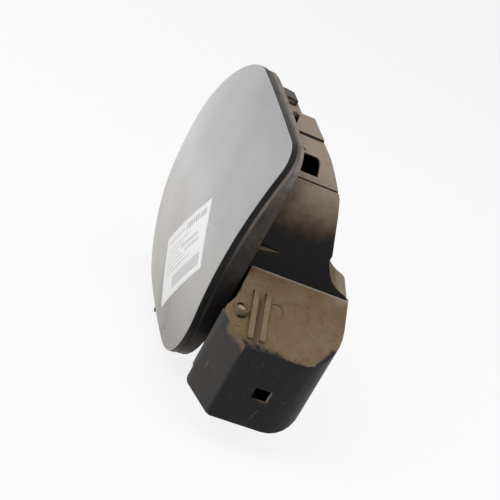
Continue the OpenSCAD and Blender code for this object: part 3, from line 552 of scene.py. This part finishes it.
def zincSteel(name, tone, stain, seed, lying=0.7, dustTone=tones["metalDust"], shadeRingAt=None):
    # lying is how much dust the faces that look up carry
    p = Paint(name)
    flow = p.noise(240, 3, 0.5, stretch=(1, 1, 6), seed=seed)
    cloud = p.noise(90, 5, 0.65, seed=seed + 1)
    rust = p.noise(330, 5, 0.7, seed=seed + 4).soft(0.62, 0.72)
    dusty = (p.nz + (cloud - 0.5) * 0.4).soft(0.55, 0.85) * lying
    colour = p.blend(cloud * 0.6, tone, stain)
    colour = p.blend(rust * 0.6, colour, tones["rust"])
    colour = p.blend(dusty, colour, dustTone)
    if shadeRingAt:
        # painted shade: a dark ring round the middle of an upright pin's end
        radius = squareFrom(p.x, p.y, shadeRingAt).power(0.5)
        inner, outer = dirtAndLightMap["pinShadeRing"]
        colour = p.blend(radius.soft(*inner) * radius.soft(*outer) * 0.75, colour, tones["darkDustAndShade"])
    rough = 0.30 + flow * 0.18 + rust * 0.35 + dusty * 0.2
    return p.finish(Base_Color=colour, Metallic=1.0 - (rust * 0.85).over(dusty), Roughness=rough,
                    Normal=p.bump(flow * 0.6 + rust * 0.5, 0.12, 0.0004))


def blackenedSteel():
    # spring steel with a dull black coating, worn through at the rubbed places
    p = Paint("blackenedSteel")
    cloud = p.noise(120, 5, 0.65)
    rubbed = p.noise(330, 5, 0.75, seed=2.0).soft(0.60, 0.70)
    dusty = (p.nz + (cloud - 0.5) * 0.7).soft(0.45, 0.9) * cloud.soft(0.35, 0.62)
    colour = p.blend(cloud * 0.6, tones["clip"], tones["clipWorn"])
    colour = p.blend(rubbed * 0.5, colour, tones["clipRubbed"])
    colour = p.blend(dusty * 0.18, colour, tones["dust"])
    return p.finish(Base_Color=colour, Metallic=rubbed * 0.5, Roughness=0.40 + cloud * 0.15 + dusty * 0.3,
                    Specular_IOR_Level=0.35, Normal=p.bump(cloud * 0.5 + rubbed * 0.5, 0.15, 0.0004))


def brassBlade():
    p = Paint("brassBlade")
    cloud = p.noise(300, 4, 0.6)
    return p.finish(Base_Color=p.blend(cloud * 0.5, tones["brass"], tones["brassStain"]), Metallic=1.0,
                    Roughness=0.28 + cloud * 0.15)


# the label, in millimetres; each printed block is (low, high, left, right) from the sheet's middle
labelSpec = {
    "middle": (27.6, -29.7),         # on the door, from its crown
    "size": (74.5, 47.6),
    "turn": 51.5,
    "thick": 0.1,
    "stands": 0.11,                  # its outer face over the paint, without the lift
    "grid": (60, 40),
    "lift": 0.02,
    "cornerLift": 0.05,
    "ripple": 0.012,
    "rippleTurns": (0.31, 0.23),     # radians per millimetre
    "frameLine": (1.2, 1.8),         # its outer and inner edge, in from the sheet's edge
    "bars": (15.0, 19.5, 2, 33),
    "field": (-19.5, -10.5, -16, 32),
    "rule": (-8.8, -8.4, -33, 33),
    "rows": ((16.5, 18.6, -31, -3), (10.6, 12.0, -31, 6), (7.4, 8.6, -31, 0), (4.2, 6.6, -4, 24),
             (3.8, 5.0, -31, -8), (0.4, 1.6, -31, -2), (-0.6, 2.0, 4, 26), (-3.0, -1.8, -31, 4),
             (-6.4, -5.0, -29, 14)),
}


def labelPaper():
    # a generic form: bars at the top, grey rows of short strokes, a rule, one field and a frame line
    p = Paint("labelPaper")
    s = labelSpec
    turn = math.radians(s["turn"])
    across, up = s["size"]
    dx, dz = p.x - (s["middle"][0] + home.x / mm), p.z - (s["middle"][1] + home.z / mm)
    u = dx * math.cos(turn) + dz * math.sin(turn)
    v = dz * math.cos(turn) - dx * math.sin(turn)

    def block(place, edge=0.25):
        low, high, left, right = place
        return v.band(low, high, edge) * u.band(left, right)

    def strokes(place, fine, seed):
        steps = p.node("ShaderNodeTexNoise", {"noise_dimensions": "1D"},
                       {"W": u * fine + seed, "Scale": 1.0, "Detail": 1.0})
        return block(place) * steps.soft(0.47, 0.53)

    def within(margin):
        return block((margin - up / 2, up / 2 - margin, margin - across / 2, across / 2 - margin))

    inside = within(s["frameLine"][0])
    ink = strokes(s["bars"], 0.62, 3.0) * 0.85
    for k, row in enumerate(s["rows"]):
        ink = ink.over(strokes(row, 1.0 + 0.23 * k, 9.0 * k) * 0.7)
    field = block(s["field"]) * 0.42
    rule = block(s["rule"], edge=0.15) * 0.35
    frameLine = inside * (1 - within(s["frameLine"][1])) * 0.3
    dark = ink.over(field).over(rule).over(frameLine) * inside
    cloud = p.noise(40, 4, 0.6, seed=3.0)
    dirt = p.noise(150, 4, 0.7, seed=5.0).soft(0.55, 0.8) * 0.25
    crease = p.noise(26, 3, 0.5, seed=12.0)
    colour = p.blend(dark, tones["paper"], tones["ink"])
    colour = p.blend(dirt, colour, tones["paperDirt"])
    return p.finish(Base_Color=colour, Roughness=0.45 + cloud * 0.1, Normal=p.bump(crease, 0.25, 0.002))


# the door

doorShape = {
    "width": 184.0, "height": 170.0,
    "corners": (69.6, 58.4, 48.6, 15.0),   # rear top, rear low, front low, front top
    "topBow": 4.2, "lowBow": 3.2, "frontBow": 1.5, "rearBow": 2.0,
    "crownX": 1250.0, "crownZ": 357.0,     # radii of the crown across and up the door
    "arcSteps": 26, "sideSteps": 16,
}


def crownDepth(x, z):
    # how far the painted face lies behind the crown
    s = doorShape
    ring = s["crownX"] - s["crownZ"] + math.sqrt(s["crownZ"] ** 2 - z * z)
    return s["crownX"] - math.sqrt(ring * ring - x * x)


def doorEdge(inset):
    # the door's outline as (x, z) points, counter-clockwise seen from outside
    s = doorShape
    a, b = s["width"] / 2 - inset, s["height"] / 2 - inset
    rt, rl, fl, ft = (r - inset for r in s["corners"])
    # each corner as the middle of its arc, its radius and the angle where it starts
    corners = (((-a + rt, b - rt), rt, 90), ((-a + rl, -b + rl), rl, 180),
               ((a - fl, -b + fl), fl, 270), ((a - ft, b - ft), ft, 0))

    def onArc(corner, turned):
        (cx, cz), r, start = corner
        angle = math.radians(start + turned)
        return cx + r * math.cos(angle), cz + r * math.sin(angle)

    points = []
    for k, corner in enumerate(corners):
        points += [onArc(corner, 90 * i / s["arcSteps"]) for i in range(s["arcSteps"] + 1)]
        x, z = points[-1]
        goalX, goalZ = onArc(corners[(k + 1) % 4], 0)
        points += [(x + (goalX - x) * i / s["sideSteps"], z + (goalZ - z) * i / s["sideSteps"])
                   for i in range(1, s["sideSteps"])]
    bowed = []
    for x, z in points:
        u, v = 2 * x / s["width"], 2 * z / s["height"]
        bowed.append((x - (s["frontBow"] if x > 0 else -s["rearBow"]) * v * v * abs(u),
                      z - (s["topBow"] if z > 0 else -s["lowBow"]) * u * u * abs(v)))
    return bowed


def toFrame(x, y, z):
    return home + Vector((x, y, z)) * mm


def edgeLoop(name, inset, depth):
    # a closed loop of edges that follows the door's outline; the circle's own size doesn't matter
    points = doorEdge(inset)
    deselectAll()
    bpy.ops.mesh.primitive_circle_add(vertices=len(points), radius=0.1, fill_type="NOTHING",
                                      rotation=(math.pi / 2, 0, 0))
    piece = named(name)
    applyPlace(piece)
    for v, (x, z) in zip(piece.data.vertices, points):
        v.co = toFrame(x, crownDepth(x, z) + depth, z)
    return piece


skinShape = {
    "rings": (0.993, 0.975, 0.95, 0.90, 0.82, 0.72, 0.60, 0.46, 0.30, 0.14),   # shares of the outline
    "hem": 3.6, "thick": 1.2,
    "round": 2.2, "roundSteps": 6, "roundFrom": 50,
    "faceEnds": -0.90,               # the rim starts where the surface faces out less than this
}


def makeDoorSkin():
    s = skinShape
    piece = edgeLoop("doorSkin", 0, 0)
    editAll(piece)
    last = 1.0
    for ring in s["rings"]:
        bpy.ops.mesh.extrude_edges_move()
        f = ring / last
        bpy.ops.transform.resize(value=(f, 1, f), center_override=home)
        last = ring
    bpy.ops.mesh.merge(type="CENTER")
    objectMode()
    for v in piece.data.vertices:
        x, z = (v.co.x - home.x) / mm, (v.co.z - home.z) / mm
        v.co = toFrame(x, crownDepth(x, z), z)
    # the hem runs back from the rim
    editMode()
    selectOpenEdges()
    bpy.ops.mesh.extrude_edges_move(TRANSFORM_OT_translate={"value": (0, s["hem"] * mm, 0)})
    objectMode()
    outward(piece)
    modify(piece, "BEVEL", width=s["round"] * mm, segments=s["roundSteps"], limit_method="ANGLE",
           angle_limit=math.radians(s["roundFrom"]))
    modify(piece, "SOLIDIFY", thickness=s["thick"] * mm, offset=-1)
    smooth(piece, 40)
    return piece


sealShape = {
    # points of its section, in from the door's outline and back from the crown: forward along the outer
    # side, round the lip behind the door's hem, and back along the inner side
    "section": ((0.6, 6.2), (0.6, 4.9), (0.95, 4.2), (1.5, 4.45),
                (1.9, 5.1), (3.1, 5.1), (3.4, 5.4), (3.4, 6.2)),
    "tabMiddle": (-7.5, 14.9, -88.8), "tabSize": (5.0, 1.4, 9.4),
    "tabTaper": (0.7, 0.8, 1), "tabRound": 0.6,
}


def makeSealTab():
    # the moulded tab that hangs from the seal below the door
    s = sealShape
    middle = toFrame(*s["tabMiddle"])
    deselectAll()
    bpy.ops.mesh.primitive_cube_add(size=1, location=middle, scale=[a * mm for a in s["tabSize"]])
    piece = named("sealTab")
    applyPlace(piece)
    editMode()
    bpy.ops.mesh.select_mode(type="VERT")
    selectVerts(piece, lambda co: co.z < middle.z)
    bpy.ops.transform.resize(value=s["tabTaper"], center_override=middle)
    objectMode()
    modify(piece, "BEVEL", width=s["tabRound"] * mm, segments=3)
    smooth(piece, 50)
    return piece


def makeLipSeal():
    # a rubber band with a rounded lip towards the door
    first, *steps = sealShape["section"]
    piece = edgeLoop("lipSealRing", *first)
    count = len(piece.data.vertices)
    editAll(piece)
    for step in steps:
        bpy.ops.mesh.extrude_edges_move()
    objectMode()
    for k, (inset, depth) in enumerate(steps, 1):
        for j, (x, z) in enumerate(doorEdge(inset)):
            piece.data.vertices[k * count + j].co = toFrame(x, crownDepth(x, z) + depth, z)
    editMode()
    selectOpenEdges()
    bpy.ops.mesh.bridge_edge_loops()
    objectMode()
    outward(piece)
    smooth(piece, 50)
    return piece


def makeLabel():
    s = labelSpec
    across, up = s["size"]
    turn = math.radians(s["turn"])
    deselectAll()
    bpy.ops.mesh.primitive_grid_add(x_subdivisions=s["grid"][0], y_subdivisions=s["grid"][1], size=1)
    piece = named("paperLabel")
    for v in piece.data.vertices:
        u, w = v.co.x * across, v.co.y * up
        # the corners lift a touch and the sheet is not quite flat
        corner = (abs(2 * u / across) ** 6) * (abs(2 * w / up) ** 6)
        ripple = math.sin(u * s["rippleTurns"][0]) * math.sin(w * s["rippleTurns"][1])
        lift = s["lift"] + s["cornerLift"] * corner + s["ripple"] * ripple
        x = s["middle"][0] + u * math.cos(turn) - w * math.sin(turn)
        z = s["middle"][1] + u * math.sin(turn) + w * math.cos(turn)
        v.co = toFrame(x, crownDepth(x, z) - lift - s["stands"], z)
    outward(piece)
    if piece.data.polygons[0].normal.y > 0:
        editAll(piece)
        bpy.ops.mesh.flip_normals()
        objectMode()
    modify(piece, "SOLIDIFY", thickness=s["thick"] * mm, offset=-1)
    smooth(piece, 40)
    return piece


print("materials")
paintFinish = doorPaint()
rimFinish = rimShadeAndGrime()
mouldingFinish = blackMoulding()
caseFinish = plainPlastic("casePlastic", tones["case"], tones["caseWorn"], seed=2.0)
armFinish = plainPlastic("armPlastic", tones["arm"], tones["armWorn"], seed=5.0)
nylonFinish = plainPlastic("naturalNylon", tones["nylon"], tones["nylonWorn"], seed=8.0)
rubberFinish = softRubber("softRubber")
sealFinish = softRubber("sealRubber", filmed=1.0)
zincFinish = zincSteel("zincSteel", tones["zinc"], tones["zincStain"], seed=1.0)
pinFinish = zincSteel("pinSteel", tones["zinc"], tones["zincStain"], seed=2.0, lying=1.0,
                      dustTone=tones["pinDust"], shadeRingAt=dirtAndLightMap["boss"])
springFinish = zincSteel("springSteel", tones["spring"], tones["springStain"], seed=4.0)
clipFinish = blackenedSteel()
bladeFinish = brassBlade()
labelFinish = labelPaper()

finishOf = {
    "housing": mouldingFinish, "lip_seal": sealFinish, "neck_seal": rubberFinish, "body_clips": clipFinish,
    "hinge_pin": pinFinish, "pin_clip": springFinish, "hinge_spring": springFinish,
    "door_bumpers": rubberFinish, "actuator_case": caseFinish, "actuator_cover": caseFinish,
    "actuator_motor": zincFinish, "actuator_screws": zincFinish, "socket_blades": bladeFinish,
    "lock_spindle": zincFinish, "lock_pin": nylonFinish, "lock_wiper": rubberFinish,
    "door_skin": paintFinish, "door_carrier": caseFinish, "hinge_arm": armFinish, "arm_bushes": nylonFinish,
    "arm_screws": zincFinish, "catch_tongue": zincFinish, "catch_rivets": zincFinish, "cap_hook": armFinish,
    "paper_label": labelFinish,
}
for name, finish in finishOf.items():
    dress(nodes[name], finish)

shading = {"weldReach": 0.00001, "creaseAngle": 32}
for node in nodes.values():
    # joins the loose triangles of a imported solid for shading, keeping its sharp edges
    for f in node.data.polygons:
        f.use_smooth = True
    node.modifiers.new("weld", "WELD").merge_threshold = shading["weldReach"]
    node.modifiers.new("creases", "EDGE_SPLIT").split_angle = math.radians(shading["creaseAngle"])

print("door skin, seal and label")
skin = makeDoorSkin()
dress(skin, paintFinish)
skin.data.materials.append(rimFinish)
for f in skin.data.polygons:
    if f.normal.y > skinShape["faceEnds"]:
        f.material_index = 1
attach(skin, "door")
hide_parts("door_skin")

tab = makeSealTab()
seal = makeLipSeal()
pick(seal)
tab.select_set(True)
bpy.ops.object.join()
dress(seal, sealFinish)
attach(seal, "housing_group")
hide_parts("lip_seal")

label = makeLabel()
dress(label, labelFinish)
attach(label, "door")
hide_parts("paper_label")

print("studio")
studio = {
    "floorHeight": -0.0818, "floorSize": 6,
    "floorTone": (0.86, 0.86, 0.86),
    "shadowShare": 0.16,             # how much of the object's shadow the white floor keeps
    "lamps": {
        "key": {"at": (0.30, -0.75, 0.95), "size": 0.9, "power": 8.0},
        "fill": {"at": (1.0, 0.25, 0.55), "size": 0.9, "power": 2.2},
        "top": {"at": (-0.1, 0.35, 1.2), "size": 1.0, "power": 2.8},
    },
    "world": 0.40,
    "worldTone": (0.96, 0.98, 1.0),
    "white": (1, 1, 1),
    # the two cards meet on this line over the floor; along y, from cardFrom to cardTo, a card turns from its
    # first tone to its second
    "cardLine": ((-0.319, -0.081), (-0.117, -0.198)),
    "cardHeight": 0.0005,
    "cardFrom": -0.16, "cardTo": -0.85, "cardBend": 0.8,
    "cards": {
        "farCard": {"size": 2.6, "side": 1, "tones": ((0.955, 0.968, 1.0), (0.52, 0.505, 0.57))},
        "nearCard": {"size": 0.8, "side": -1, "tones": ((0.94, 0.90, 0.86), (0.94, 0.90, 0.86))},
    },
}


def seenRays(work):
    # 1 for what the camera, a mirror or glass sees, 0 for soft light
    seen = work.node("ShaderNodeLightPath", output="Is Camera Ray")
    return seen.over(seen.also("Is Glossy Ray")).over(seen.also("Is Transmission Ray"))


deselectAll()
bpy.ops.mesh.primitive_plane_add(size=studio["floorSize"], location=(0, 0, studio["floorHeight"]))
floor = named("studioFloor")
floorPaint = newMaterial("floorPaint")
work = NodeWork(floorPaint.node_tree)
dull = work.node("ShaderNodeBsdfDiffuse", {}, {"Color": studio["floorTone"]})
white = work.node("ShaderNodeEmission", {}, {"Color": studio["white"]})
whiteShare = seenRays(work) * (1 - studio["shadowShare"])
work.node("ShaderNodeOutputMaterial", {}, {
    "Surface": work.node("ShaderNodeMixShader", {}, [whiteShare, dull, white])})
dress(floor, floorPaint)

# two cards on the floor that only show as reflections in the paint: a warm one under the object, and beyond
# the line a cool one that gets darker with distance
(ax, ay), (bx, by) = studio["cardLine"]
along = Vector((bx - ax, by - ay, 0)).normalized()
beyond = Vector((along.y, -along.x, 0))
lineMiddle = Vector(((ax + bx) / 2, (ay + by) / 2, studio["floorHeight"] + studio["cardHeight"]))


def addCard(name, size, side, tones):
    deselectAll()
    bpy.ops.mesh.primitive_plane_add(size=size, location=lineMiddle + beyond * side * size / 2,
                                     rotation=(0, 0, math.atan2(along.y, along.x)))
    card = named(name)
    paper = newMaterial(name + "Paper")
    work = NodeWork(paper.node_tree)
    distance = work.split(work.node("ShaderNodeNewGeometry", output="Position"))[1]
    reach = work.node("ShaderNodeMapRange", {}, {
        "Value": distance, "From Min": studio["cardFrom"], "From Max": studio["cardTo"]})
    tone = work.blend(reach.power(studio["cardBend"]), *tones)
    glow = work.node("ShaderNodeEmission", {}, {"Color": tone})
    work.node("ShaderNodeOutputMaterial", {}, {"Surface": glow})
    dress(card, paper)
    card.visible_camera = False
    card.visible_diffuse = False
    card.visible_shadow = False
    card.visible_transmission = False


for name, spec in studio["cards"].items():
    addCard(name, **spec)

world = bpy.data.worlds.new("studioWorld")
scene.world = world
world.use_nodes = True
work = NodeWork(world.node_tree)
sky = work.node("ShaderNodeBackground", {}, {"Color": studio["worldTone"], "Strength": studio["world"]})
white = work.node("ShaderNodeBackground", {}, {"Color": studio["white"], "Strength": 1.0})
work.node("ShaderNodeOutputWorld", {}, {
    "Surface": work.node("ShaderNodeMixShader", {}, [seenRays(work), sky, white])})

for name, spec in studio["lamps"].items():
    data = bpy.data.lights.new(name, "AREA")
    data.size = spec["size"]
    data.energy = spec["power"]
    lamp = bpy.data.objects.new(name, data)
    scene.collection.objects.link(lamp)
    lamp.location = spec["at"]
    lamp.rotation_euler = (-Vector(spec["at"])).to_track_quat("-Z", "Y").to_euler()   # towards the object

# the photograph's viewpoint
viewpoint = {
    "at": (0.755993, -0.310701, 0.333466),
    "right": (0.13697, 0.88358, 0.44780),
    "up": (-0.48643, -0.33381, 0.80744),
    "lens": 99.24, "sensor": 36, "clipStart": 0.01,
}
cameraData = bpy.data.cameras.new("camera")
camera = bpy.data.objects.new("camera", cameraData)
scene.collection.objects.link(camera)
right = Vector(viewpoint["right"]).normalized()
up = Vector(viewpoint["up"])
up = (up - right * up.dot(right)).normalized()
back = right.cross(up)
turned = Matrix((right, up, back)).transposed().to_4x4()
camera.matrix_world = Matrix.Translation(Vector(viewpoint["at"])) @ turned
cameraData.lens = viewpoint["lens"]
cameraData.sensor_width = viewpoint["sensor"]
cameraData.clip_start = viewpoint["clipStart"]
scene.camera = camera
scene.view_settings.view_transform = "Standard"

print("done")
